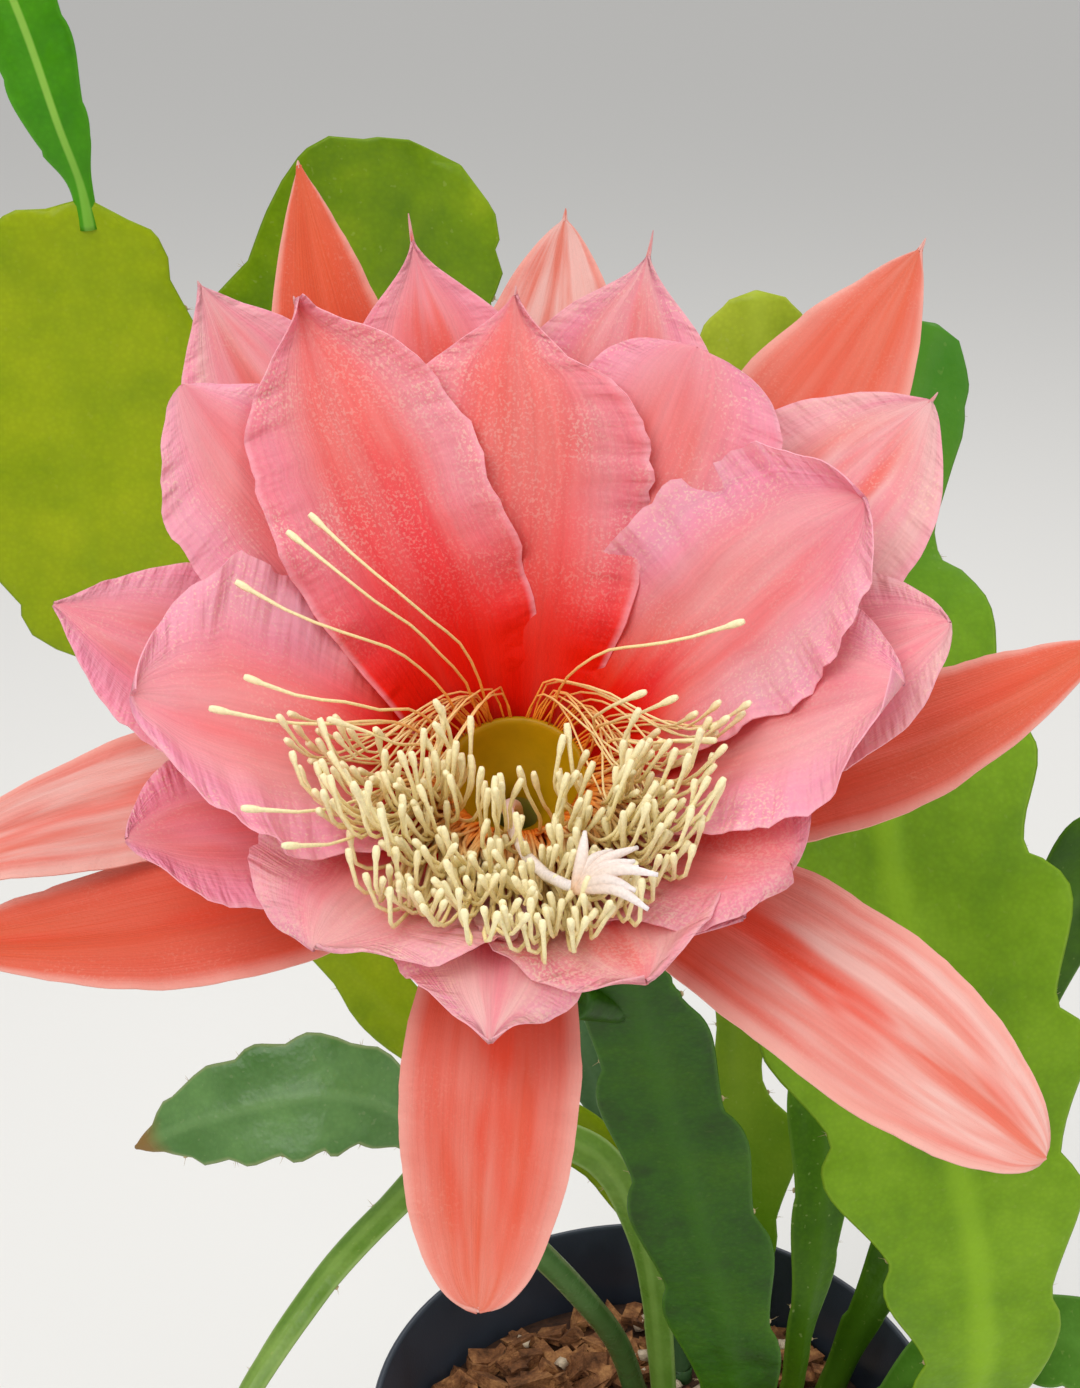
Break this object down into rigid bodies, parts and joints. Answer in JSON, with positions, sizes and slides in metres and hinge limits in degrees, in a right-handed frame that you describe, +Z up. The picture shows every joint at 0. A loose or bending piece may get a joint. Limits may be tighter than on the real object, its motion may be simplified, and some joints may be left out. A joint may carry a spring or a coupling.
{
  "type": "potted orchid cactus",
  "caption": "Orchid cactus with flat, notched, leafless stems and a large open pink and coral flower, in a round nursery pot of bark mix.",
  "frame": {"origin": "centre of the pot's flat underside, where the plant stands", "axes": "+Z up, -Y towards the side the flower faces, +X to the right seen from that side"},
  "size_m": [0.2852, 0.2795, 0.5145],
  "materials": {
    "pot_plastic": "satin black, faintly blue",
    "bark_mix": "rough, matte",
    "tube_green": "waxy, olive",
    "sepal_coral": "silky",
    "petal_pink": "silky, faintly sparkling",
    "stigma_white": "matte, downy",
    "anther_cream": "matte, powdery",
    "stem_bearing_skin": "waxy, smooth",
    "stem_right_skin": "waxy, smooth",
    "stem_left_skin": "waxy, smooth",
    "stem_back_skin": "waxy, smooth",
    "stem_back_right_skin": "waxy, smooth",
    "stem_slim_skin": "waxy, smooth",
    "stem_leaf_skin": "waxy, smooth",
    "stem_arching_skin": "waxy, smooth",
    "stem_edge_skin": "waxy, smooth",
    "stem_low_skin": "waxy, smooth",
    "stem_grey_skin": "waxy, smooth"
  },
  "bodies": {
    "root": {"pot": "pot_plastic", "potting_mix": "bark_mix", "stem_bearing": "stem_bearing_skin", "stem_right": "stem_right_skin", "stem_left": "stem_left_skin", "stem_back": "stem_back_skin", "stem_back_right": "stem_back_right_skin", "stem_slim": "stem_slim_skin", "stem_leaf": "stem_leaf_skin", "stem_arching": "stem_arching_skin", "stem_edge": "stem_edge_skin", "stem_low": "stem_low_skin", "stem_grey": "stem_grey_skin", "floral_tube": "tube_green", "outer_tepals": "sepal_coral", "inner_tepals": "petal_pink", "style": "stigma_white", "stamens": "anther_cream"}
  },
  "joints": []
}
